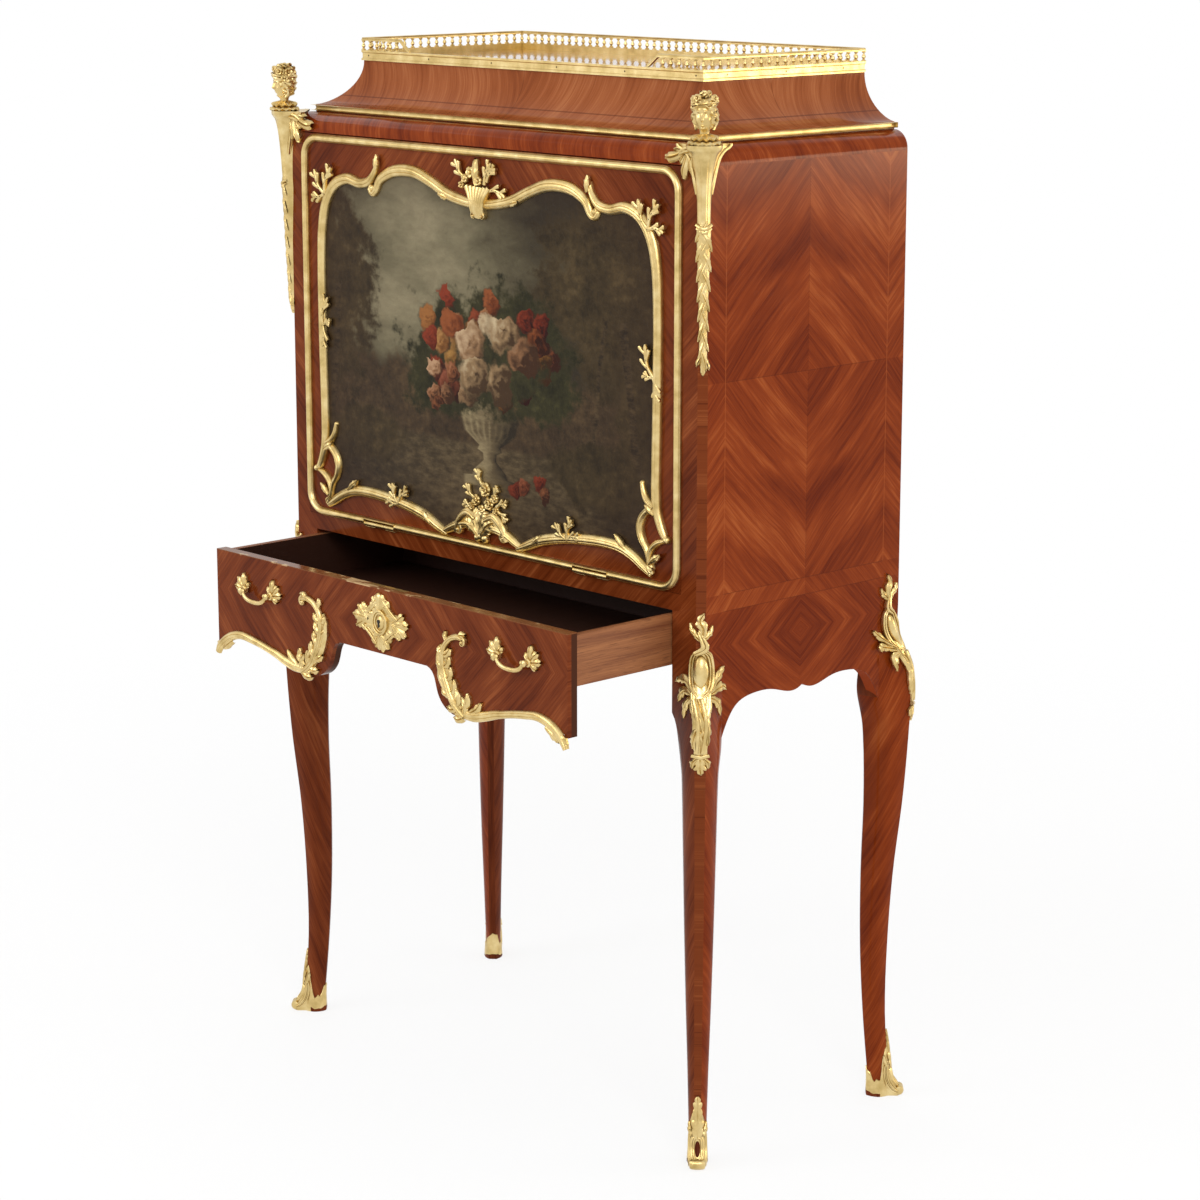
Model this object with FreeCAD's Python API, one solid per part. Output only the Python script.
# Small fall-front writing desk on four cabriole legs, with one drawer, a coved
# top, a pierced brass gallery and gilt brass mounts. Millimetres, +Z up, +Y back.
import math
import os

import FreeCAD
import Part

V = FreeCAD.Vector

# Case
CASE_W = 770.0
CASE_D = 350.0
CASE_TOP_Z = 1235.0
TOP_BOARD_T = 24.0
TOP_EDGE_R = 22.0
CANT_W = 12.0
POST_W = 33.5
POST_D = 36.0
STILE_W = 48.0
SIDE_T = 18.0
BACK_T = 12.0
RAIL_T = 22.0
RAIL_BOTTOM_Z = 687.0
RAIL_TOP_Z = 708.0
POST_FOOT_Z = 562.0
KNEE_FOOT_Z = 492.0
SIDE_APRON_Z = 534.0
SIDE_ARCH_H = 45.5
SIDE_CUSP_H = 42.0
SIDE_LOBE_H = 36.5
BACK_APRON_Z = 590.0
BOARD_T = 16.0
DUST_T = 6.0

# Fall front
FALL_T = 22.0
FALL_SIDE_GAP = 0.5
FALL_BOTTOM_GAP = 0.4
FALL_TOP_GAP = 1.2
PIVOT_OUT = 3.8
PIVOT_UP = 2.0
MOULDING_W = 10.0
MOULDING_PROUD = 7.0
MOULDING_CORNER_R = 30.0
MOULDING_INSET = 0.4
PANEL_T = 1.5
FRAME_W = 17.0
FRAME_PROUD = 8.0
FRAME_MARGIN_X = 33.0
FRAME_MARGIN_Z = 24.0
FLOWERS_R = 34.0
LEATHER_T = 1.2
LEATHER_MARGIN = 48.0
HINGE_X = 200.0
HINGE_L = 60.0
HINGE_LEAF_T = 1.6
HINGE_LEAF_D = 18.0
KNUCKLE_R = 3.2
KNUCKLE_GAP = 0.4
PIN_R = 1.2
RUNNING_FIT = 0.05
STAY_R = 150.0
STAY_BAR = 10.0
STAY_T = 3.0
STAY_INSET = 5.5
STAY_FOOT_H = 18.0
STAY_FROM = 9.0
STAY_TO = 108.0
STAY_STOP = 106.8
STAY_STOP_R = 2.0
GUIDE_D = 9.5
GUIDE_H = 24.0
SLIDE_FIT = 0.4
LOCK_W = 70.0
LOCK_H = 52.0
LOCK_T = 8.0
BOLT_W = 18.0
BOLT_H = 20.0
BOLT_T = 4.5
BOLT_THROW = 7.0

# Drawer
DRAWER_SIDE_GAP = 2.0
DRAWER_TOP_GAP = 3.0
DRAWER_FRONT_T = 15.0
DRAWER_SIDE_T = 9.0
DRAWER_BOX_D = 300.0
DRAWER_SIDE_TOP_Z = 681.0
DRAWER_FLOOR_Z = 620.0
DRAWER_BOTTOM_T = 5.0
DRAWER_OUT = 167.0
APRON_MIDDLE_Z = 602.0
APRON_LOBE_Z = 549.0
APRON_RISE_Z = 576.0
APRON_END_Z = 560.0
SCROLL_TOP_Z = 645.0
SCROLL_W = 11.0
RUNNER_T = 13.0
RUNNER_W = 15.0
RUNNER_GUIDE_H = 30.0
RUNNER_FIT = 0.3
HANDLE_X = 245.0
HANDLE_Z = 640.0
HANDLE_SPACING = 54.0
ROSETTE_R = 13.0
ROSETTE_T = 4.8
HANDLE_POST_R = 4.0
HANDLE_POST_L = 14.0
BAIL_OUT = 10.0
BAIL_R = 2.4
BAIL_PIN_R = 1.5
BAIL_DROP = 19.0
BAIL_OVERHANG = 9.0
BAIL_BEND = 9.0
ESCUTCHEON_W = 106.0
ESCUTCHEON_H = 72.0
MOUNT_T = 5.0
KEYHOLE_R = 2.6

# Writing compartment
FITTING_SET_BACK = 157.0
FITTING_BOARD = 8.0
FITTING_SIDE_GAP = 13.0
SMALL_DRAWER_H = 60.0
SMALL_DRAWER_BACK_GAP = 16.0
SMALL_DRAWER_WALL = 6.0
SMALL_DRAWER_FIT = 0.6
PIGEONHOLE_H = 150.0
UPPER_SHELF_H = 120.0
FITTING_TOP_GAP = 14.0
KNOB_R = 6.0
KNOB_L = 14.0

# Cornice and gallery
CORNICE_IN = 18.0
CORNICE_MOULDING_W = 6.0
CORNICE_GAP = 1.5
CORNICE_MOULDING_H = 7.0
CORNICE_FRONT_IN = 25.0
CORNICE_STEP_H = 9.0
COVE_RUN = 50.0
COVE_FRONT_RUN = 41.0
COVE_RISE = 57.0
COVE_WALL = 22.0
GALLERY_BAND_T = 4.4
GALLERY_BAND_H = 12.8
GALLERY_LIP = 2.4
GALLERY_TOP_T = 5.0
GALLERY_FIT = 0.2
BALUSTER_H = 12.4
BALUSTER_R = 3.0
BALUSTER_PITCH = 13.5
GALLERY_RAIL = 4.0
GALLERY_RETURN = 75.0
GALLERY_RAMP = 18.0

# Legs and corner mounts, measured on the diagonal through each corner:
# height, outer edge, cant width, place of the widest point, width, inner edge
LEG_STATIONS = [
    (612.0, -5.0, 12.0, -24.0, 50.0, -50.0),
    (570.0, 13.0, 13.0, -17.0, 60.0, -54.0),
    (535.0, 16.5, 14.0, -14.0, 49.0, -51.0),
    (490.0, 15.0, 13.0, -14.0, 44.0, -43.0),
    (400.0, 9.0, 12.0, -15.0, 40.0, -40.0),
    (300.0, -1.5, 11.0, -20.0, 36.0, -42.0),
    (200.0, -7.0, 10.0, -23.0, 31.0, -41.0),
    (110.0, -7.7, 9.0, -21.5, 25.4, -36.0),
    (20.0, -1.0, 8.0, -15.0, 21.0, -28.0),
]
LEG_INNER_W = 7.0
MOUNT_ROOT = 7.0
SABOT_H = 70.0
SABOT_T = 3.0
TOE_R = 8.0
TOE_L = 22.0
TOE_OUT = 4.0
# height, half width, how far proud of the corner
KNEE_STATIONS = [
    (687.0, 3.0, 2.0),
    (662.0, 14.0, 5.0),
    (640.0, 18.0, 8.0),
    (600.0, 18.0, 8.0),
    (580.0, 26.0, 6.0),
    (558.0, 16.0, 6.0),
    (530.0, 12.0, 5.0),
    (497.0, 2.0, 2.0),
]
CHUTE_STATIONS = [
    (1236.0, 23.0, 19.0),
    (1226.0, 20.0, 14.0),
    (1212.0, 14.0, 10.0),
    (1140.0, 12.0, 8.0),
    (1118.0, 14.0, 8.0),
    (1060.0, 8.0, 6.0),
    (970.0, 1.5, 2.0),
]
BUST_R = 21.0
BUST_HEAD_R = 16.5
BUST_H = 64.0
BUST_OUT = 3.0

HALF_W = CASE_W / 2
FRONT_Y = -CASE_D / 2
BACK_Y = CASE_D / 2
TOP_BOARD_Z = CASE_TOP_Z - TOP_BOARD_T
CANT = CANT_W / math.sqrt(2)
POST_X = HALF_W - POST_W
STILE_X = HALF_W - STILE_W
SIDE_X = HALF_W - SIDE_T
POST_Y = BACK_Y - POST_D
BACK_FACE_Y = BACK_Y - BACK_T
BEHIND_RAIL_Y = FRONT_Y + RAIL_T

FALL_HALF = POST_X - FALL_SIDE_GAP
FALL_Z0 = RAIL_TOP_Z + FALL_BOTTOM_GAP
FALL_Z1 = TOP_BOARD_Z - FALL_TOP_GAP
FALL_MID_Z = (FALL_Z0 + FALL_Z1) / 2
FALL_IN_Y = FRONT_Y + FALL_T
PIVOT_Y = FRONT_Y - PIVOT_OUT
PIVOT_Z = FALL_Z0 + PIVOT_UP
FALL_SWEEP = math.hypot(PIVOT_OUT + FALL_T, PIVOT_UP)
FLOOR_TOP_Z = PIVOT_Z + PIVOT_OUT + FALL_T - FALL_BOTTOM_GAP
FLOOR_FRONT_Y = PIVOT_Y + FALL_SWEEP + SLIDE_FIT

DRAWER_HALF = STILE_X - DRAWER_SIDE_GAP
DRAWER_TOP_Z = RAIL_BOTTOM_Z - DRAWER_TOP_GAP
DRAWER_Y = FRONT_Y - DRAWER_OUT
DRAWER_IN_Y = DRAWER_Y + DRAWER_FRONT_T
DRAWER_BACK_Y = DRAWER_IN_Y + DRAWER_BOX_D

nodes = {}


def box(x0, x1, y0, y1, z0, z1):
    return Part.makeBox(x1 - x0, y1 - y0, z1 - z0, V(x0, y0, z0))


def face_of(points):
    return Part.Face(Part.makePolygon([V(*p) for p in points + points[:1]]))


def prism(points, along):
    return face_of(points).extrude(V(*along))


def fused(shapes):
    whole = shapes[0].fuse(shapes[1:])
    return whole.removeSplitter()


def largest(shape):
    return max(shape.Solids, key=lambda solid: solid.Volume)


def mirror_x(shape):
    return shape.mirror(V(0, 0, 0), V(1, 0, 0))


def mirror_y(shape):
    return shape.mirror(V(0, 0, 0), V(0, 1, 0))


def both_sides(shape):
    return [shape, mirror_x(shape)]


def four_corners(shape):
    pair = both_sides(shape)
    return pair + [mirror_y(one) for one in pair]


def revolved(profile, centre, axis):
    # profile: (radius, distance along the axis) pairs, turned about the axis
    edges = []
    for (r0, h0), (r1, h1) in zip(profile, profile[1:] + profile[:1]):
        edges.append(Part.makeLine(V(r0, 0, h0), V(r1, 0, h1)))
    turned = Part.Face(Part.Wire(edges)).revolve(V(0, 0, 0), V(0, 0, 1), 360)
    turned.Placement = FreeCAD.Placement(V(*centre), FreeCAD.Rotation(V(0, 0, 1), V(*axis)))
    return turned


def rounded_plate(half_w, z0, z1, radius, y0, y1):
    plate = box(-half_w, half_w, y0, y1, z0, z1)
    corners = [e for e in plate.Edges if abs(e.tangentAt(e.FirstParameter).y) > 0.99]
    return plate.makeFillet(radius, corners)


def corner_point(s, t, z):
    # front right corner: s runs out along the diagonal, t runs across it
    q = math.sqrt(0.5)
    return (HALF_W + q * (s + t), FRONT_Y + q * (t - s), z)


def between(stations, z, column):
    for low, high in zip(stations[1:], stations):
        if low[0] <= z <= high[0]:
            share = (z - low[0]) / (high[0] - low[0])
            return low[column] + share * (high[column] - low[column])
    return stations[0][column] if z > stations[0][0] else stations[-1][column]


def leg_section(z, grow=0.0):
    out = between(LEG_STATIONS, z, 1) + grow
    cant = between(LEG_STATIONS, z, 2) / 2 + grow / 2
    mid = between(LEG_STATIONS, z, 3)
    half = between(LEG_STATIONS, z, 4) / 2 + grow
    inner = between(LEG_STATIONS, z, 5) - grow
    heel = LEG_INNER_W / 2 + grow / 2
    ring = [(out, -cant), (out, cant), (mid, half), (inner, heel), (inner, -heel), (mid, -half)]
    points = [V(*corner_point(s, t, z)) for s, t in ring]
    return Part.makePolygon(points + points[:1])


def corner_mount(stations, surface):
    # a cast mount that wraps the canted corner: sections follow the corner's two faces
    wires = []
    for z, half, proud in stations:
        out = surface(z)
        fall_back = out - 1.1 * max(0.0, half - CANT_W / 2)
        ring = [
            (fall_back - MOUNT_ROOT, -half),
            (out - 1.3 * MOUNT_ROOT, 0),
            (fall_back - MOUNT_ROOT, half),
            (fall_back + 0.4 * proud, half),
            (out + proud, 0.4 * half),
            (out + proud, -0.4 * half),
            (fall_back + 0.4 * proud, -half),
        ]
        points = [V(*corner_point(s, t, z)) for s, t in ring]
        wires.append(Part.makePolygon(points + points[:1]))
    return Part.makeLoft(wires, True, True)


def legs():
    # corner post and cabriole leg in one timber, with a canted outer corner
    post = prism(
        [
            (POST_X, FRONT_Y, POST_FOOT_Z),
            (HALF_W - CANT, FRONT_Y, POST_FOOT_Z),
            (HALF_W, FRONT_Y + CANT, POST_FOOT_Z),
            (HALF_W, -POST_Y, POST_FOOT_Z),
            (POST_X, -POST_Y, POST_FOOT_Z),
        ],
        (0, 0, TOP_BOARD_Z - POST_FOOT_Z),
    )
    stile = box(STILE_X, POST_X, FRONT_Y, -POST_Y, POST_FOOT_Z, RAIL_BOTTOM_Z)
    cabriole = Part.makeLoft([leg_section(row[0]) for row in LEG_STATIONS], True, False)
    # shoulders that carry the front and side edges down into the knee
    drop = POST_FOOT_Z - KNEE_FOOT_Z
    in_x = (STILE_X + POST_X) / 2
    front_ear = prism(
        [
            (STILE_X, FRONT_Y, POST_FOOT_Z),
            (in_x, FRONT_Y, POST_FOOT_Z - 0.15 * drop),
            (POST_X, FRONT_Y, POST_FOOT_Z - 0.5 * drop),
            (POST_X + CANT, FRONT_Y, KNEE_FOOT_Z),
            (HALF_W - CANT, FRONT_Y, KNEE_FOOT_Z),
            (HALF_W - CANT, FRONT_Y, POST_FOOT_Z),
        ],
        (0, POST_D, 0),
    )
    side_drop = SIDE_APRON_Z - KNEE_FOOT_Z
    side_ear = prism(
        [
            (SIDE_X, -POST_Y, POST_FOOT_Z),
            (SIDE_X, -POST_Y, SIDE_APRON_Z),
            (SIDE_X, -POST_Y - 0.6 * CANT, SIDE_APRON_Z - 0.5 * side_drop),
            (SIDE_X, -POST_Y - CANT, KNEE_FOOT_Z),
            (SIDE_X, FRONT_Y + CANT, KNEE_FOOT_Z),
            (SIDE_X, FRONT_Y + CANT, POST_FOOT_Z),
        ],
        (SIDE_T, 0, 0),
    )
    clear = box(0, CASE_W, -POST_Y, 0, SIDE_APRON_Z, CASE_TOP_Z)
    front = fused([post, stile, cabriole, front_ear, side_ear]).cut(clear)
    back = fused([post, cabriole, side_ear]).cut(clear)
    return largest(front), mirror_y(largest(back))


front_leg, back_leg = legs()
nodes["leg_front_right"] = front_leg
nodes["leg_front_left"] = mirror_x(front_leg)
nodes["leg_back_right"] = back_leg
nodes["leg_back_left"] = mirror_x(back_leg)


def sabot():
    # cast shoe round the foot, with a rolled toe and a flat sole
    heights = [SABOT_H, SABOT_H / 2, 0.0]
    cup = Part.makeLoft([leg_section(z, SABOT_T) for z in heights], True, True)
    start = V(*corner_point(TOE_OUT, -TOE_L / 2, TOE_R))
    end = V(*corner_point(TOE_OUT, TOE_L / 2, TOE_R))
    toe = Part.makeCylinder(TOE_R, TOE_L, start, end - start)
    return largest(fused([cup, toe]).cut(front_leg))


nodes["sabots"] = Part.makeCompound(four_corners(sabot()))


def knee_mount():
    mount = corner_mount(KNEE_STATIONS, lambda z: max(-CANT_W / 2, between(LEG_STATIONS, z, 1)))
    return largest(mount.cut(front_leg))


def side_panel():
    # veneered side with a scalloped lower edge
    low = SIDE_APRON_Z
    edge = [
        (-POST_Y, low),
        (-0.94 * POST_Y, low + 0.37 * SIDE_ARCH_H),
        (-0.82 * POST_Y, low + 0.81 * SIDE_ARCH_H),
        (-0.6 * POST_Y, low + SIDE_ARCH_H),
        (-0.36 * POST_Y, low + 0.5 * (SIDE_ARCH_H + SIDE_CUSP_H)),
        (-0.14 * POST_Y, low + SIDE_LOBE_H),
        (0.0, low + SIDE_CUSP_H),
    ]
    curve = Part.BSplineCurve()
    curve.interpolate([V(SIDE_X, y, z) for y, z in edge])
    other = Part.BSplineCurve()
    other.interpolate([V(SIDE_X, -y, z) for y, z in reversed(edge)])
    ends = [V(SIDE_X, POST_Y, low), V(SIDE_X, POST_Y, TOP_BOARD_Z)]
    ends += [V(SIDE_X, -POST_Y, TOP_BOARD_Z), V(SIDE_X, -POST_Y, low)]
    rim = Part.makePolygon(ends)
    outline = Part.Wire([curve.toShape(), other.toShape()] + rim.Edges)
    return Part.Face(outline).extrude(V(SIDE_T, 0, 0))


nodes["side_panel_right"] = side_panel()
nodes["side_panel_left"] = mirror_x(nodes["side_panel_right"])
mount = largest(knee_mount().cut(nodes["side_panel_right"]))
nodes["knee_mounts"] = Part.makeCompound(four_corners(mount))
back_board = box(-POST_X, POST_X, BACK_FACE_Y, BACK_Y, BACK_APRON_Z, TOP_BOARD_Z)
nodes["back_panel"] = largest(back_board.cut([nodes["leg_back_left"], nodes["leg_back_right"]]))

# Stay geometry is concentric with the hinge line, so the bar runs through its guide
STAY_X = FALL_HALF - STAY_INSET
SLOT_Y0 = PIVOT_Y + (STAY_R - STAY_BAR) * math.sin(math.radians(STAY_TO))
SLOT_Y1 = PIVOT_Y + STAY_R + STAY_BAR


def stay_slots(z0, z1):
    slot = box(STAY_X - 2 * STAY_T, STAY_X + 2 * STAY_T, SLOT_Y0, SLOT_Y1, z0, z1)
    return both_sides(slot)


def drawer_bolt_mortise():
    half = BOLT_W / 2 + SLIDE_FIT
    y1 = FRONT_Y + DRAWER_FRONT_T
    return box(-half, half, y1 - LOCK_T, y1, RAIL_BOTTOM_Z, RAIL_BOTTOM_Z + BOLT_THROW)


def fall_bolt_mortise():
    half = BOLT_W / 2 + SLIDE_FIT
    return box(-half, half, FALL_IN_Y - LOCK_T, FALL_IN_Y, TOP_BOARD_Z, TOP_BOARD_Z + BOLT_THROW)


def hinge_span(x, half):
    return x - half, x + half


def carcase_boards():
    rail = box(-POST_X, POST_X, FRONT_Y, BEHIND_RAIL_Y, RAIL_BOTTOM_Z, RAIL_TOP_Z)
    seats = []
    for x in (-HINGE_X, HINGE_X):
        x0, x1 = hinge_span(x, HINGE_L / 2)
        z0 = RAIL_TOP_Z - HINGE_LEAF_T
        seats.append(box(x0, x1, FRONT_Y, FRONT_Y + HINGE_LEAF_D, z0, RAIL_TOP_Z))
    nodes["front_rail"] = rail.cut(seats + [drawer_bolt_mortise()])

    floor_z0 = FLOOR_TOP_Z - BOARD_T
    floor = box(-SIDE_X, SIDE_X, FLOOR_FRONT_Y, BACK_FACE_Y, floor_z0, FLOOR_TOP_Z)
    posts = [nodes[n] for n in nodes if n.startswith("leg_")]
    nodes["writing_floor"] = largest(floor.cut(posts + stay_slots(floor_z0, FLOOR_TOP_Z)))

    dust_z1 = RAIL_BOTTOM_Z + DUST_T
    dust = box(-SIDE_X, SIDE_X, BEHIND_RAIL_Y, BACK_FACE_Y, RAIL_BOTTOM_Z, dust_z1)
    nodes["dust_board"] = largest(dust.cut(posts + stay_slots(RAIL_BOTTOM_Z, dust_z1)))

    # each runner carries a drawer side from below and guides it from outside
    ledge_x = DRAWER_HALF - RUNNER_W
    ledge_z = DRAWER_FLOOR_Z - RUNNER_FIT
    ledge = box(ledge_x, SIDE_X, -POST_Y, POST_Y, ledge_z - RUNNER_T, ledge_z)
    guide_x = DRAWER_HALF + RUNNER_FIT
    guide = box(guide_x, SIDE_X, -POST_Y, POST_Y, ledge_z, ledge_z + RUNNER_GUIDE_H)
    nodes["drawer_runners"] = Part.makeCompound(both_sides(fused([ledge, guide])))


carcase_boards()


def edge_profile(half, z0, z1, radius):
    # upright section with both upper edges rounded over
    c = radius * (1 - math.sqrt(0.5))
    right = [V(half, 0, z0), V(half, 0, z1 - radius), V(half - c, 0, z1 - c), V(half - radius, 0, z1)]
    left = [V(-p.x, 0, p.z) for p in reversed(right)]
    edges = [
        Part.makeLine(right[0], right[1]),
        Part.Arc(right[1], right[2], right[3]).toShape(),
        Part.makeLine(right[3], left[0]),
        Part.Arc(left[0], left[1], left[2]).toShape(),
        Part.makeLine(left[2], left[3]),
        Part.makeLine(left[3], right[0]),
    ]
    return Part.Wire(edges)


def case_top():
    # top board with an ovolo along the front and both sides, and a flat back
    side_to_side = Part.Face(edge_profile(HALF_W, TOP_BOARD_Z, CASE_TOP_Z, TOP_EDGE_R))
    side_to_side.translate(V(0, FRONT_Y, 0))
    across = side_to_side.extrude(V(0, CASE_D, 0))
    deep = Part.Face(edge_profile(CASE_D, TOP_BOARD_Z, CASE_TOP_Z, TOP_EDGE_R))
    deep.rotate(V(0, 0, 0), V(0, 0, 1), 90)
    deep.translate(V(-HALF_W, BACK_Y, 0))
    along = deep.extrude(V(CASE_W, 0, 0))
    plan = prism(
        [
            (-HALF_W, BACK_Y, TOP_BOARD_Z),
            (-HALF_W, FRONT_Y + CANT, TOP_BOARD_Z),
            (-HALF_W + CANT, FRONT_Y, TOP_BOARD_Z),
            (HALF_W - CANT, FRONT_Y, TOP_BOARD_Z),
            (HALF_W, FRONT_Y + CANT, TOP_BOARD_Z),
            (HALF_W, BACK_Y, TOP_BOARD_Z),
        ],
        (0, 0, TOP_BOARD_T),
    )
    return across.common(along).common(plan).cut(fall_bolt_mortise())


nodes["case_top"] = case_top()

CORNICE_HALF = HALF_W - CORNICE_IN - CORNICE_MOULDING_W
CORNICE_FRONT_Y = FRONT_Y + CORNICE_FRONT_IN + CORNICE_MOULDING_W
COVE_Z0 = CASE_TOP_Z + CORNICE_STEP_H
COVE_Z1 = COVE_Z0 + COVE_RISE
GALLERY_HALF = CORNICE_HALF - COVE_RUN + GALLERY_LIP
GALLERY_FRONT_Y = CORNICE_FRONT_Y + COVE_FRONT_RUN - GALLERY_LIP


def cove_wire(half, run):
    # step, then a hollow that rises to the vertical at its top edge
    z_mid = COVE_Z0 + 0.32 * COVE_RISE
    x_mid = half - 0.66 * run
    right = [V(half, 0, CASE_TOP_Z), V(half, 0, COVE_Z0), V(x_mid, 0, z_mid), V(half - run, 0, COVE_Z1)]
    left = [V(-p.x, 0, p.z) for p in reversed(right)]
    edges = [
        Part.makeLine(right[0], right[1]),
        Part.Arc(right[1], right[2], right[3]).toShape(),
        Part.makeLine(right[3], left[0]),
        Part.Arc(left[0], left[1], left[2]).toShape(),
        Part.makeLine(left[2], left[3]),
        Part.makeLine(left[3], right[0]),
    ]
    return Part.Wire(edges)


def cornice():
    depth = BACK_Y - CORNICE_FRONT_Y
    across = Part.Face(cove_wire(CORNICE_HALF, COVE_RUN))
    across.translate(V(0, CORNICE_FRONT_Y, 0))
    across = across.extrude(V(0, depth, 0))
    along = Part.Face(cove_wire(depth, COVE_FRONT_RUN))
    along.rotate(V(0, 0, 0), V(0, 0, 1), 90)
    along.translate(V(-CORNICE_HALF, BACK_Y, 0))
    along = along.extrude(V(2 * CORNICE_HALF, 0, 0))
    behind = box(-HALF_W, HALF_W, BACK_Y, BACK_Y + CASE_D, CASE_TOP_Z, COVE_Z1)
    inner_half = CORNICE_HALF - COVE_RUN - COVE_WALL
    inner_front = CORNICE_FRONT_Y + COVE_FRONT_RUN + COVE_WALL
    hollow = box(-inner_half, inner_half, inner_front, BACK_Y - COVE_WALL, CASE_TOP_Z, COVE_Z1)
    nodes["cornice_cove"] = across.common(along).cut([behind, hollow])

    outer = CORNICE_HALF + CORNICE_MOULDING_W
    outer_front = CORNICE_FRONT_Y - CORNICE_MOULDING_W
    z0 = CASE_TOP_Z + CORNICE_GAP
    band = box(-outer, outer, outer_front, BACK_Y, z0, z0 + CORNICE_MOULDING_H)
    nose = [
        e
        for e in band.Edges
        if abs(e.tangentAt(e.FirstParameter).z) < 0.1 and e.CenterOfMass.y < BACK_Y - 1
    ]
    band = band.makeFillet(0.45 * CORNICE_MOULDING_H, nose)
    core = box(-CORNICE_HALF, CORNICE_HALF, CORNICE_FRONT_Y, BACK_Y, z0, z0 + CORNICE_MOULDING_H)
    nodes["cornice_moulding"] = band.cut(core)

    top_half = GALLERY_HALF - GALLERY_BAND_T - GALLERY_FIT
    top_front = GALLERY_FRONT_Y + GALLERY_BAND_T + GALLERY_FIT
    top_back = BACK_Y - GALLERY_BAND_T - GALLERY_FIT
    nodes["cornice_top"] = box(-top_half, top_half, top_front, top_back, COVE_Z1, COVE_Z1 + GALLERY_TOP_T)


cornice()

BAND_TOP_Z = COVE_Z1 + GALLERY_BAND_H
RAIL_Z = BAND_TOP_Z + BALUSTER_H
POST_LINE_X = GALLERY_HALF - GALLERY_BAND_T / 2
POST_LINE_FRONT = GALLERY_FRONT_Y + GALLERY_BAND_T / 2
POST_LINE_BACK = BACK_Y - GALLERY_BAND_T / 2


def gallery_band():
    outer = box(-GALLERY_HALF, GALLERY_HALF, GALLERY_FRONT_Y, BACK_Y, COVE_Z1, BAND_TOP_Z)
    t = GALLERY_BAND_T
    inner = box(-GALLERY_HALF + t, GALLERY_HALF - t, GALLERY_FRONT_Y + t, BACK_Y - t, COVE_Z1, BAND_TOP_Z)
    return outer.cut(inner)


def gallery_balusters():
    r = BALUSTER_R
    h = BALUSTER_H
    vase = [(0, 0), (r, 0), (r, 0.12 * h), (0.4 * r, 0.25 * h), (0.85 * r, 0.45 * h)]
    vase += [(0.35 * r, 0.8 * h), (0.8 * r, 0.92 * h), (0.8 * r, h), (0, h)]
    places = []
    across = 2 * POST_LINE_X
    count = round(across / BALUSTER_PITCH)
    for i in range(count + 1):
        places.append((-POST_LINE_X + across * i / count, POST_LINE_BACK))
    deep = POST_LINE_BACK - POST_LINE_FRONT
    count = round(deep / BALUSTER_PITCH)
    for i in range(count):
        for x in (-POST_LINE_X, POST_LINE_X):
            places.append((x, POST_LINE_FRONT + deep * i / count))
    for i in range(1, int(GALLERY_RETURN / BALUSTER_PITCH) + 1):
        for side in (-1, 1):
            places.append((side * (POST_LINE_X - BALUSTER_PITCH * i), POST_LINE_FRONT))
    return Part.makeCompound([revolved(vase, (x, y, BAND_TOP_Z), (0, 0, 1)) for x, y in places])


def gallery_rail():
    half = GALLERY_RAIL / 2
    z1 = RAIL_Z + GALLERY_RAIL
    x = POST_LINE_X
    pieces = [box(-x - half, x + half, POST_LINE_BACK - half, POST_LINE_BACK + half, RAIL_Z, z1)]
    return_x = x - GALLERY_RETURN
    y0 = POST_LINE_FRONT - half
    ramp = prism(
        [
            (return_x, y0, RAIL_Z),
            (return_x, y0, z1),
            (return_x - GALLERY_RAMP, y0, BAND_TOP_Z + GALLERY_RAIL),
            (return_x - GALLERY_RAMP, y0, BAND_TOP_Z),
        ],
        (0, GALLERY_RAIL, 0),
    )
    side = box(x - half, x + half, y0, POST_LINE_BACK + half, RAIL_Z, z1)
    front = box(return_x, x + half, y0, y0 + GALLERY_RAIL, RAIL_Z, z1)
    for piece in (side, front, ramp):
        pieces += both_sides(piece)
    return fused(pieces)


nodes["gallery_band"] = gallery_band()
nodes["gallery_balusters"] = gallery_balusters()
nodes["gallery_rail"] = gallery_rail()


def corner_figures():
    # tapering corner mount with a flared head, and the bust that stands on it
    chute = corner_mount(CHUTE_STATIONS, lambda z: -CANT_W / 2)
    chute = largest(chute.cut([front_leg, nodes["side_panel_right"], nodes["case_top"]]))
    foot = CHUTE_STATIONS[0][0]
    r = BUST_HEAD_R
    head = [(0, 1.0), (0.45, 0.97), (0.85, 0.87), (1.0, 0.7), (0.92, 0.5), (0.66, 0.33), (0.52, 0.24)]
    profile = [(share * r, height * BUST_H) for share, height in head]
    profile += [(0.8 * BUST_R, 0.19 * BUST_H), (BUST_R, 0.1 * BUST_H), (0.9 * BUST_R, 0), (0, 0)]
    return chute, revolved(profile, corner_point(BUST_OUT, 0, foot), (0, 0, 1))


chute, bust = corner_figures()
nodes["corner_mount_right"] = chute
nodes["corner_mount_left"] = mirror_x(chute)
nodes["bust_right"] = bust
nodes["bust_left"] = mirror_x(bust)

# Fall front


def knuckle_row(x, radius):
    # three knuckles: the outer two belong to the case, the middle one to the fall
    third = HINGE_L / 3
    spans = []
    for i in range(3):
        x0 = x - HINGE_L / 2 + i * third + KNUCKLE_GAP / 2
        length = third - KNUCKLE_GAP
        spans.append(Part.makeCylinder(radius, length, V(x0, PIVOT_Y, PIVOT_Z), V(1, 0, 0)))
    return spans


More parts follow.
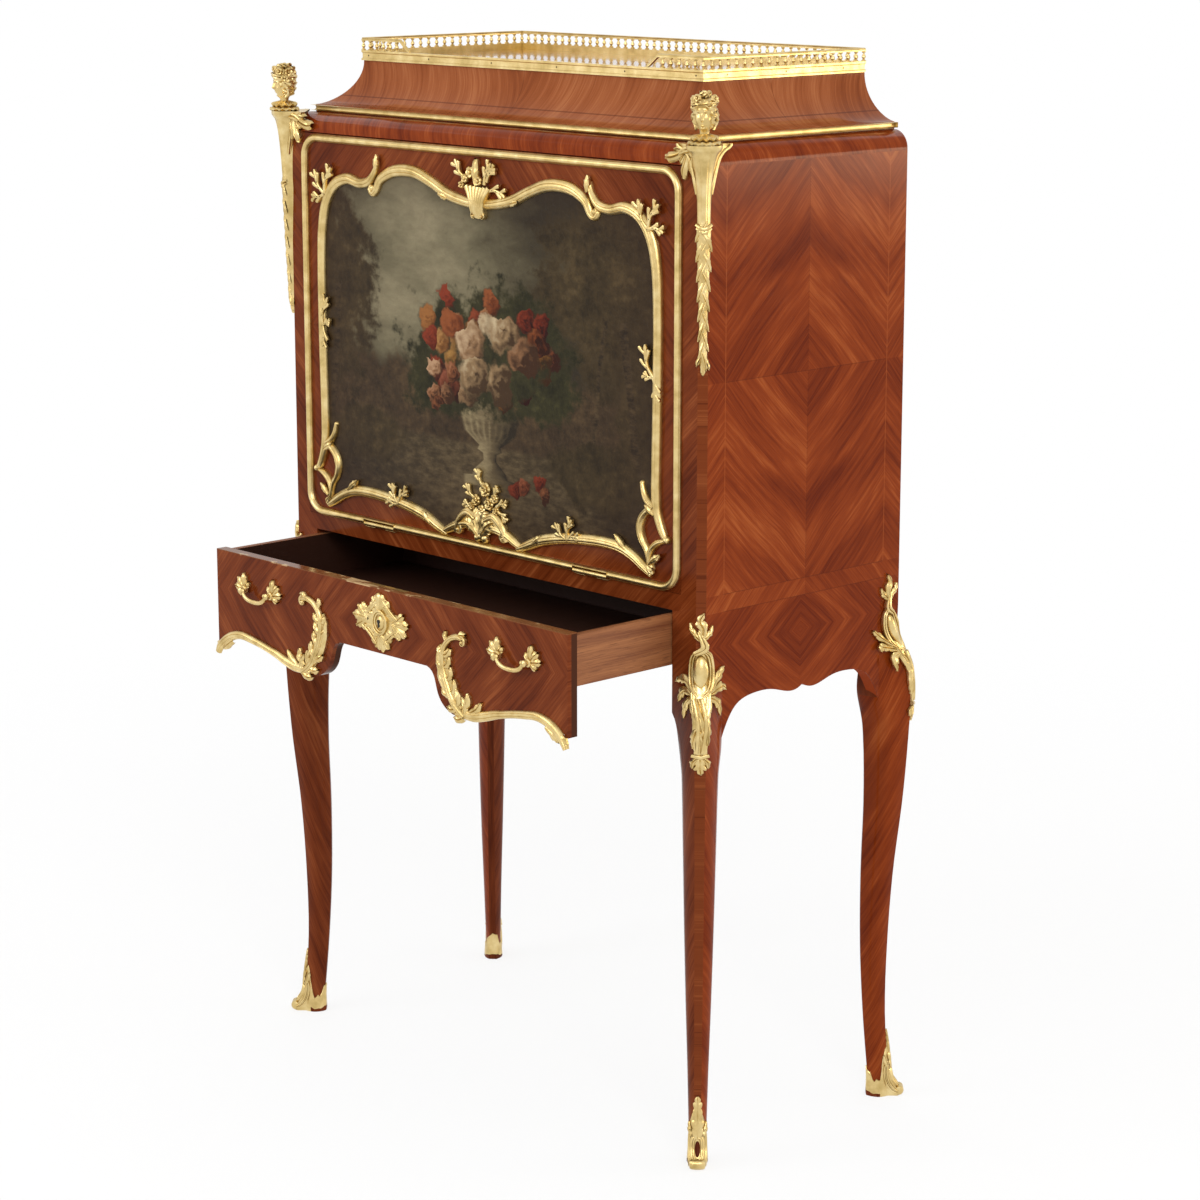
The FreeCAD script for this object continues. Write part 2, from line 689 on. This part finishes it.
def fall_hinges():
    fixed = []
    moving = []
    pins = []
    for x in (-HINGE_X, HINGE_X):
        x0, x1 = hinge_span(x, HINGE_L / 2)
        barrel = knuckle_row(x, KNUCKLE_R)
        third = HINGE_L / 3
        leaf_z = RAIL_TOP_Z - HINGE_LEAF_T
        leaf = box(x0, x1, FRONT_Y, FRONT_Y + HINGE_LEAF_D, leaf_z, RAIL_TOP_Z)
        necks = []
        for start in (x0, x1 - third):
            neck_x = start + KNUCKLE_GAP / 2
            necks.append(box(neck_x, neck_x + third - KNUCKLE_GAP, PIVOT_Y, FRONT_Y, leaf_z, RAIL_TOP_Z))
        pin = Part.makeCylinder(PIN_R, HINGE_L, V(x0, PIVOT_Y, PIVOT_Z), V(1, 0, 0))
        fixed.append(fused([leaf, barrel[0], barrel[2]] + necks).cut(pin))
        plate_z = FALL_Z0 + HINGE_LEAF_T
        plate = box(x0, x1, FRONT_Y, FRONT_Y + HINGE_LEAF_D, FALL_Z0, plate_z)
        neck_x = x0 + third + KNUCKLE_GAP / 2
        neck = box(neck_x, neck_x + third - KNUCKLE_GAP, PIVOT_Y, FRONT_Y, FALL_Z0, plate_z)
        bore = Part.makeCylinder(PIN_R + RUNNING_FIT, HINGE_L, V(x0, PIVOT_Y, PIVOT_Z), V(1, 0, 0))
        moving.append(fused([plate, barrel[1], neck]).cut(bore))
        pins.append(pin)
    nodes["fall_hinge_fixed_leaves"] = Part.makeCompound(fixed)
    nodes["fall_hinge_moving_leaves"] = Part.makeCompound(moving)
    nodes["fall_hinge_pins"] = Part.makeCompound(pins)


fall_hinges()


def lock_set(in_y, top_z):
    # lock case let into an inner face, its plate, and the bolt that rises out of its top
    case = box(-LOCK_W / 2, LOCK_W / 2, in_y - LOCK_T, in_y, top_z - LOCK_H, top_z)
    f = SLIDE_FIT
    half = BOLT_W / 2
    y1 = in_y - (LOCK_T - BOLT_T) / 2
    y0 = y1 - BOLT_T
    z1 = top_z - f
    z0 = z1 - BOLT_H
    bolt = box(-half, half, y0, y1, z0, z1)
    way = box(-half - f, half + f, y0 - f, y1 + f, z0 - f, top_z)
    return case, case.cut(way), bolt


def fall_board():
    board = box(-FALL_HALF, FALL_HALF, FRONT_Y, FALL_IN_Y, FALL_Z0, FALL_Z1)
    cuts = []
    for x in (-HINGE_X, HINGE_X):
        x0, x1 = hinge_span(x, HINGE_L / 2)
        cuts.append(box(x0, x1, FRONT_Y, FRONT_Y + HINGE_LEAF_D, FALL_Z0, FALL_Z0 + HINGE_LEAF_T))
    case, plate, bolt = lock_set(FALL_IN_Y, FALL_Z1)
    skin_half = FALL_HALF - LEATHER_MARGIN
    skin_z1 = FALL_Z1 - LOCK_H - LEATHER_T
    skin_z0 = FALL_Z0 + LEATHER_MARGIN
    leather = box(-skin_half, skin_half, FALL_IN_Y - LEATHER_T, FALL_IN_Y, skin_z0, skin_z1)
    nodes["fall_board"] = board.cut(cuts + [case, leather])
    nodes["writing_leather"] = leather
    nodes["fall_lock"] = plate
    nodes["fall_lock_bolt"] = bolt


fall_board()


def fall_moulding():
    # three reeds round the fall: a high middle reed between two lower ones
    half = FALL_HALF - MOULDING_INSET
    z0 = FALL_Z0
    z1 = FALL_Z1 - MOULDING_INSET
    third = MOULDING_W / 3
    rings = []
    for i, proud in enumerate((0.75, 1.0, 0.75)):
        a = i * third
        b = a + third
        y0 = FRONT_Y - proud * MOULDING_PROUD
        r = MOULDING_CORNER_R
        outer = rounded_plate(half - a, z0 + a, z1 - a, r - a, y0, FRONT_Y)
        inner = rounded_plate(half - b, z0 + b, z1 - b, r - b, y0, FRONT_Y)
        rings.append(outer.cut(inner))
    room = KNUCKLE_R + KNUCKLE_GAP
    notches = []
    for x in (-HINGE_X, HINGE_X):
        x0, x1 = hinge_span(x, HINGE_L / 2 + KNUCKLE_GAP)
        notches.append(box(x0, x1, FRONT_Y - 2 * MOULDING_PROUD, FRONT_Y, z0, PIVOT_Z + room))
    return fused(rings).cut(notches)


nodes["fall_moulding"] = fall_moulding()

FRAME_HALF_W = FALL_HALF - FRAME_MARGIN_X
FRAME_HALF_H = (FALL_Z1 - FALL_Z0) / 2 - FRAME_MARGIN_Z


def frame_line():
    # right half of the picture frame's line, clockwise from the top, in shares of its half sizes
    shares = [
        (0.0, 0.81),
        (0.315, 0.92),
        (0.52, 0.92),
        (0.635, 0.805),
        (0.786, 0.866),
        (0.943, 0.78),
        (0.994, 0.484),
        (0.98, -0.13),
        (1.0, -0.7),
        (0.937, -0.994),
        (0.786, -0.93),
        (0.393, -0.92),
        (0.204, -0.994),
        (0.0, -0.964),
    ]
    right = [(x * FRAME_HALF_W, FALL_MID_Z + z * FRAME_HALF_H) for x, z in shares]
    return right + [(-x, z) for x, z in reversed(right[1:-1])]


def closed_curve(points, y):
    curve = Part.BSplineCurve()
    curve.interpolate([V(x, y, z) for x, z in points], PeriodicFlag=True)
    return Part.Wire([curve.toShape()])


def beside(points, distance):
    # the line moved sideways, outwards for a clockwise line
    moved = []
    for i, (x, z) in enumerate(points):
        x0, z0 = points[i - 1]
        x1, z1 = points[(i + 1) % len(points)]
        run = math.hypot(x1 - x0, z1 - z0)
        moved.append((x - distance * (z1 - z0) / run, z + distance * (x1 - x0) / run))
    return moved


def picture():
    line = frame_line()
    inner = Part.Face(closed_curve(beside(line, -FRAME_W / 2), FRONT_Y))
    outer = Part.Face(closed_curve(beside(line, FRAME_W / 2), FRONT_Y))
    nodes["painted_panel"] = inner.extrude(V(0, -PANEL_T, 0))
    ring = outer.cut(inner).extrude(V(0, -FRAME_PROUD, 0))
    nodes["picture_frame"] = ring
    # domed flower clusters on the picture's edge, clear of the frame's own band
    face_y = FRONT_Y - PANEL_T
    dome = [(0, 0), (1.0, 0), (0.92, 0.45), (0.6, 0.85), (0, 1.0)]
    clusters = []
    for x, z, size in ((0, 0.64, 0.8), (0, -0.75, 1.0), (-0.41, -0.78, 0.53), (0.41, -0.78, 0.53)):
        profile = [(a * size * FLOWERS_R, h * FRAME_PROUD) for a, h in dome]
        centre = (x * FRAME_HALF_W, face_y, FALL_MID_Z + z * FRAME_HALF_H)
        clusters.append(revolved(profile, centre, (0, -1, 0)))
    nodes["frame_flowers"] = Part.makeCompound(clusters)


picture()


def ring_arc(x0, thickness, r0, r1, from_deg, to_deg):
    # part of a flat ring about the hinge line, angles from straight up towards the back
    def at(r, deg):
        a = math.radians(deg)
        return V(x0, PIVOT_Y + r * math.sin(a), PIVOT_Z + r * math.cos(a))

    mid = (from_deg + to_deg) / 2
    edges = [
        Part.Arc(at(r0, from_deg), at(r0, mid), at(r0, to_deg)).toShape(),
        Part.makeLine(at(r0, to_deg), at(r1, to_deg)),
        Part.Arc(at(r1, to_deg), at(r1, mid), at(r1, from_deg)).toShape(),
        Part.makeLine(at(r1, from_deg), at(r0, from_deg)),
    ]
    return Part.Face(Part.Wire(edges)).extrude(V(thickness, 0, 0))


def fall_stays():
    x0 = STAY_X - STAY_T / 2
    r0 = STAY_R - STAY_BAR / 2
    r1 = STAY_R + STAY_BAR / 2
    bar = ring_arc(x0, STAY_T, r0, r1, STAY_FROM - 2, STAY_TO)
    bar = largest(bar.cut(box(0, HALF_W, FRONT_Y, FALL_IN_Y, FALL_Z0, FALL_Z1)))
    foot_z = PIVOT_Z + STAY_R * math.cos(math.radians(STAY_FROM))
    foot_half = FALL_HALF - STAY_X - FALL_SIDE_GAP
    foot_z0 = foot_z - STAY_FOOT_H / 2
    foot_z1 = foot_z + STAY_FOOT_H / 2
    foot_x0 = STAY_X - foot_half
    foot = box(foot_x0, foot_x0 + 2 * foot_half, FALL_IN_Y, FALL_IN_Y + STAY_T / 2, foot_z0, foot_z1)
    a = math.radians(STAY_STOP)
    stop_at = V(STAY_X - STAY_T, PIVOT_Y + STAY_R * math.sin(a), PIVOT_Z + STAY_R * math.cos(a))
    stop = Part.makeCylinder(STAY_STOP_R, 2 * STAY_T, stop_at, V(1, 0, 0))
    nodes["fall_stays"] = Part.makeCompound(both_sides(fused([bar, foot, stop])))

    guide_z0 = PIVOT_Z + STAY_R - GUIDE_H
    guide_z1 = guide_z0 + 1.5 * GUIDE_H
    cheek = box(STAY_X - 2 * STAY_T, POST_X, -POST_Y - GUIDE_D, -POST_Y, guide_z0, guide_z1)
    f = SLIDE_FIT
    way = ring_arc(x0 - f, STAY_T + 2 * f, r0 - f, r1 + f, 0, STAY_TO)
    nodes["stay_guides"] = Part.makeCompound(both_sides(cheek.cut(way)))


fall_stays()

# Drawer, standing out by DRAWER_OUT


def apron_edge():
    # right half of the drawer front's lower edge, from the middle out
    drop = APRON_MIDDLE_Z - APRON_LOBE_Z
    rise = APRON_RISE_Z - APRON_LOBE_Z
    return [
        (0.25 * DRAWER_HALF, APRON_MIDDLE_Z),
        (0.285 * DRAWER_HALF, APRON_MIDDLE_Z - 0.15 * drop),
        (0.31 * DRAWER_HALF, APRON_MIDDLE_Z - 0.57 * drop),
        (0.36 * DRAWER_HALF, APRON_MIDDLE_Z - 0.9 * drop),
        (0.43 * DRAWER_HALF, APRON_LOBE_Z),
        (0.55 * DRAWER_HALF, APRON_LOBE_Z + 0.26 * rise),
        (0.7 * DRAWER_HALF, APRON_LOBE_Z + 0.74 * rise),
        (0.84 * DRAWER_HALF, APRON_RISE_Z),
        (DRAWER_HALF, APRON_END_Z),
    ]


def keyhole():
    y0 = DRAWER_Y - CASE_D / 2
    top = Part.makeCylinder(KEYHOLE_R, CASE_D, V(0, y0, HANDLE_Z), V(0, 1, 0))
    half = 0.5 * KEYHOLE_R
    slot = box(-half, half, y0, y0 + CASE_D, HANDLE_Z - 3 * KEYHOLE_R, HANDLE_Z)
    return fused([top, slot])


def drawer_front():
    right = apron_edge()
    left = [(-x, z) for x, z in reversed(right)]
    y = DRAWER_Y
    edges = []
    for half in (left, right):
        curve = Part.BSplineCurve()
        curve.interpolate([V(x, y, z) for x, z in half])
        edges.append(curve.toShape())
    flat = Part.makeLine(V(left[-1][0], y, left[-1][1]), V(right[0][0], y, right[0][1]))
    x, z = right[-1]
    rim = Part.makePolygon([V(x, y, z), V(x, y, DRAWER_TOP_Z), V(-x, y, DRAWER_TOP_Z), V(-x, y, z)])
    front = Part.Face(Part.Wire([edges[0], flat, edges[1]] + rim.Edges)).extrude(V(0, DRAWER_FRONT_T, 0))
    case, plate, bolt = lock_set(DRAWER_IN_Y, DRAWER_TOP_Z)
    nodes["drawer_front"] = front.cut([case, keyhole()])
    nodes["drawer_lock"] = plate
    nodes["drawer_lock_bolt"] = bolt


drawer_front()


def drawer_box():
    t = DRAWER_SIDE_T
    side = box(DRAWER_HALF - t, DRAWER_HALF, DRAWER_IN_Y, DRAWER_BACK_Y, DRAWER_FLOOR_Z, DRAWER_SIDE_TOP_Z)
    nodes["drawer_sides"] = Part.makeCompound(both_sides(side))
    half = DRAWER_HALF - t
    bottom_z1 = DRAWER_FLOOR_Z + DRAWER_BOTTOM_T
    back_z1 = DRAWER_SIDE_TOP_Z - t
    nodes["drawer_back"] = box(-half, half, DRAWER_BACK_Y - t, DRAWER_BACK_Y, bottom_z1, back_z1)
    nodes["drawer_bottom"] = box(-half, half, DRAWER_IN_Y, DRAWER_BACK_Y, DRAWER_FLOOR_Z, bottom_z1)


drawer_box()


def escutcheon():
    # lozenge with hollow sides and a raised middle
    a = ESCUTCHEON_W / 2
    b = ESCUTCHEON_H / 2
    tips = [(a, 0), (0, b), (-a, 0), (0, -b)]
    edges = []
    for (x0, z0), (x1, z1) in zip(tips, tips[1:] + tips[:1]):
        mid = (0.4 * (x0 + x1), 0.4 * (z0 + z1))
        arc = [V(x, DRAWER_Y, HANDLE_Z + z) for x, z in ((x0, z0), mid, (x1, z1))]
        edges.append(Part.Arc(*arc).toShape())
    plate = Part.Face(Part.Wire(edges)).extrude(V(0, -0.7 * MOUNT_T, 0))
    boss = Part.makeCylinder(0.3 * ESCUTCHEON_H, MOUNT_T, V(0, DRAWER_Y, HANDLE_Z), V(0, -1, 0))
    return fused([plate, boss]).cut(keyhole())


nodes["drawer_escutcheon"] = escutcheon()


def apron_mount():
    # leafy scroll that climbs beside the middle and then follows the lower edge
    edge = apron_edge()
    climb = SCROLL_TOP_Z - APRON_LOBE_Z
    half_w = SCROLL_W / 2
    line = [(0.47 * DRAWER_HALF, SCROLL_TOP_Z), (0.4 * DRAWER_HALF, SCROLL_TOP_Z - 0.05 * climb)]
    line.append((0.352 * DRAWER_HALF, SCROLL_TOP_Z - 0.24 * climb))
    line += [(x + 2.5 * half_w, z + 1.3 * half_w) for x, z in edge[1:4]]
    line += [(x, z + 1.4 * half_w) for x, z in edge[4:-1]]
    line.append((edge[-1][0] - 1.6 * half_w, edge[-1][1] + 1.1 * half_w))
    widths = [0.45 * SCROLL_W, 0.8 * SCROLL_W, 0.7 * SCROLL_W] + [0.8 * SCROLL_W] * 3
    widths += [SCROLL_W] * (len(edge) - 5) + [0.4 * SCROLL_W]
    one_side = []
    other = []
    for i, (x, z) in enumerate(line):
        x0, z0 = line[max(i - 1, 0)]
        x1, z1 = line[min(i + 1, len(line) - 1)]
        run = math.hypot(x1 - x0, z1 - z0)
        nx = -(z1 - z0) / run * widths[i] / 2
        nz = (x1 - x0) / run * widths[i] / 2
        one_side.append((x + nx, DRAWER_Y, z + nz))
        other.append((x - nx, DRAWER_Y, z - nz))
    return prism(one_side + other[::-1], (0, -MOUNT_T, 0))


nodes["apron_mounts"] = Part.makeCompound(both_sides(apron_mount()))


def handles():
    eye_y = DRAWER_Y - BAIL_OUT
    r = ROSETTE_R
    p = HANDLE_POST_R
    t = ROSETTE_T
    rosette = [(0, 0), (r, 0), (r, 0.42 * t), (0.75 * r, 0.88 * t)]
    rosette += [(1.2 * p, t), (p, 1.35 * t), (p, HANDLE_POST_L), (0, HANDLE_POST_L)]
    rosettes = []
    for centre in (-HANDLE_X, HANDLE_X):
        for end in (-HANDLE_SPACING / 2, HANDLE_SPACING / 2):
            x = centre + end
            post = revolved(rosette, (x, DRAWER_Y, HANDLE_Z), (0, -1, 0))
            eye = Part.makeCylinder(BAIL_PIN_R + RUNNING_FIT, 2 * r, V(x - r, eye_y, HANDLE_Z), V(1, 0, 0))
            rosettes.append(post.cut(eye))
    nodes["handle_rosettes"] = Part.makeCompound(rosettes)

    arm = HANDLE_SPACING / 2 + BAIL_OVERHANG
    low = HANDLE_Z - BAIL_DROP
    bend = BAIL_BEND
    c = bend * (1 - math.sqrt(0.5))
    for name, centre in (("bail_left", -HANDLE_X), ("bail_right", HANDLE_X)):
        def at(x, z):
            return V(centre + x, eye_y, z)

        path = [
            Part.makeLine(at(-arm, HANDLE_Z), at(-arm, low + bend)),
            Part.Arc(at(-arm, low + bend), at(-arm + c, low + c), at(-arm + bend, low)).toShape(),
            Part.makeLine(at(-arm + bend, low), at(arm - bend, low)),
            Part.Arc(at(arm - bend, low), at(arm - c, low + c), at(arm, low + bend)).toShape(),
            Part.makeLine(at(arm, low + bend), at(arm, HANDLE_Z)),
        ]
        ring = Part.Wire([Part.makeCircle(BAIL_R, at(-arm, HANDLE_Z), V(0, 0, 1))])
        bow = Part.Wire(path).makePipeShell([ring], True, False)
        pin_l = BAIL_OVERHANG + HANDLE_POST_R
        pieces = [bow]
        for side in (-1, 1):
            pieces.append(Part.makeCylinder(BAIL_PIN_R, pin_l, at(side * arm, HANDLE_Z), V(-side, 0, 0)))
            pieces.append(Part.makeSphere(1.25 * BAIL_R, at(side * arm, HANDLE_Z)))
        nodes[name] = fused(pieces)


handles()

# Writing compartment: three small drawers below, pigeonholes, and two open shelves above

FITTING_HALF = FALL_HALF - FITTING_SIDE_GAP
FITTING_Y = FRONT_Y + FITTING_SET_BACK
BAY_HALF = FITTING_HALF / 3
SHELF_1_Z = FLOOR_TOP_Z + SMALL_DRAWER_H
SHELF_2_Z = SHELF_1_Z + FITTING_BOARD + PIGEONHOLE_H
SHELF_3_Z = SHELF_2_Z + FITTING_BOARD + UPPER_SHELF_H
FITTING_TOP_Z = TOP_BOARD_Z - FITTING_TOP_GAP


def fitting():
    t = FITTING_BOARD
    in_half = FITTING_HALF - t
    side = box(in_half, FITTING_HALF, FITTING_Y, BACK_FACE_Y, FLOOR_TOP_Z, FITTING_TOP_Z)
    nodes["fitting_sides"] = Part.makeCompound(both_sides(side))
    shelves = []
    for z in (SHELF_1_Z, SHELF_2_Z, SHELF_3_Z):
        shelves.append(box(-in_half, in_half, FITTING_Y, BACK_FACE_Y, z, z + t))
    nodes["fitting_shelves"] = Part.makeCompound(shelves)
    uprights = []
    for x in (-BAY_HALF, BAY_HALF):
        uprights.append(box(x - t / 2, x + t / 2, FITTING_Y, BACK_FACE_Y, FLOOR_TOP_Z, SHELF_1_Z))
    for x in (-2 * BAY_HALF, -BAY_HALF, 0.0, BAY_HALF, 2 * BAY_HALF):
        uprights.append(box(x - t / 2, x + t / 2, FITTING_Y, BACK_FACE_Y, SHELF_1_Z + t, SHELF_2_Z))
    nodes["fitting_uprights"] = Part.makeCompound(uprights)


fitting()


def small_drawer(x0, x1):
    f = SMALL_DRAWER_FIT
    w = SMALL_DRAWER_WALL
    z0 = FLOOR_TOP_Z + f / 2
    z1 = SHELF_1_Z - f
    y1 = BACK_FACE_Y - SMALL_DRAWER_BACK_GAP
    body = box(x0 + f, x1 - f, FITTING_Y, y1, z0, z1)
    inside = box(x0 + f + w, x1 - f - w, FITTING_Y + w, y1 - w, z0 + w, z1)
    return body.cut(inside)


def small_drawers():
    t = FITTING_BOARD
    bays = [
        ("left", -FITTING_HALF + t, -BAY_HALF - t / 2),
        ("middle", -BAY_HALF + t / 2, BAY_HALF - t / 2),
        ("right", BAY_HALF + t / 2, FITTING_HALF - t),
    ]
    r = KNOB_R
    knob = [(0, 0), (0.5 * r, 0), (0.35 * r, 0.4 * KNOB_L), (r, 0.62 * KNOB_L)]
    knob += [(r, 0.8 * KNOB_L), (0.6 * r, KNOB_L), (0, KNOB_L)]
    for side, x0, x1 in bays:
        nodes["small_drawer_" + side] = small_drawer(x0, x1)
        middle = ((x0 + x1) / 2, FITTING_Y, FLOOR_TOP_Z + SMALL_DRAWER_H / 2)
        nodes["small_drawer_knob_" + side] = revolved(knob, middle, (0, -1, 0))


small_drawers()


def export():
    # the origin is on the floor, under the middle of the desk with its drawer standing out
    whole = Part.makeCompound(list(nodes.values())).optimalBoundingBox(False, False)
    middle_y = (whole.YMin + whole.YMax) / 2
    os.makedirs("parts", exist_ok=True)
    for name, shape in nodes.items():
        moved = shape.translated(V(0, -middle_y, 0))
        moved.exportStep("parts/" + name + ".step")
        print(name, len(moved.Solids), moved.isValid(), round(moved.Volume))
    print("middle_y", middle_y, "size", whole.XLength, whole.YLength, whole.ZLength, whole.XMin, whole.ZMin)


export()
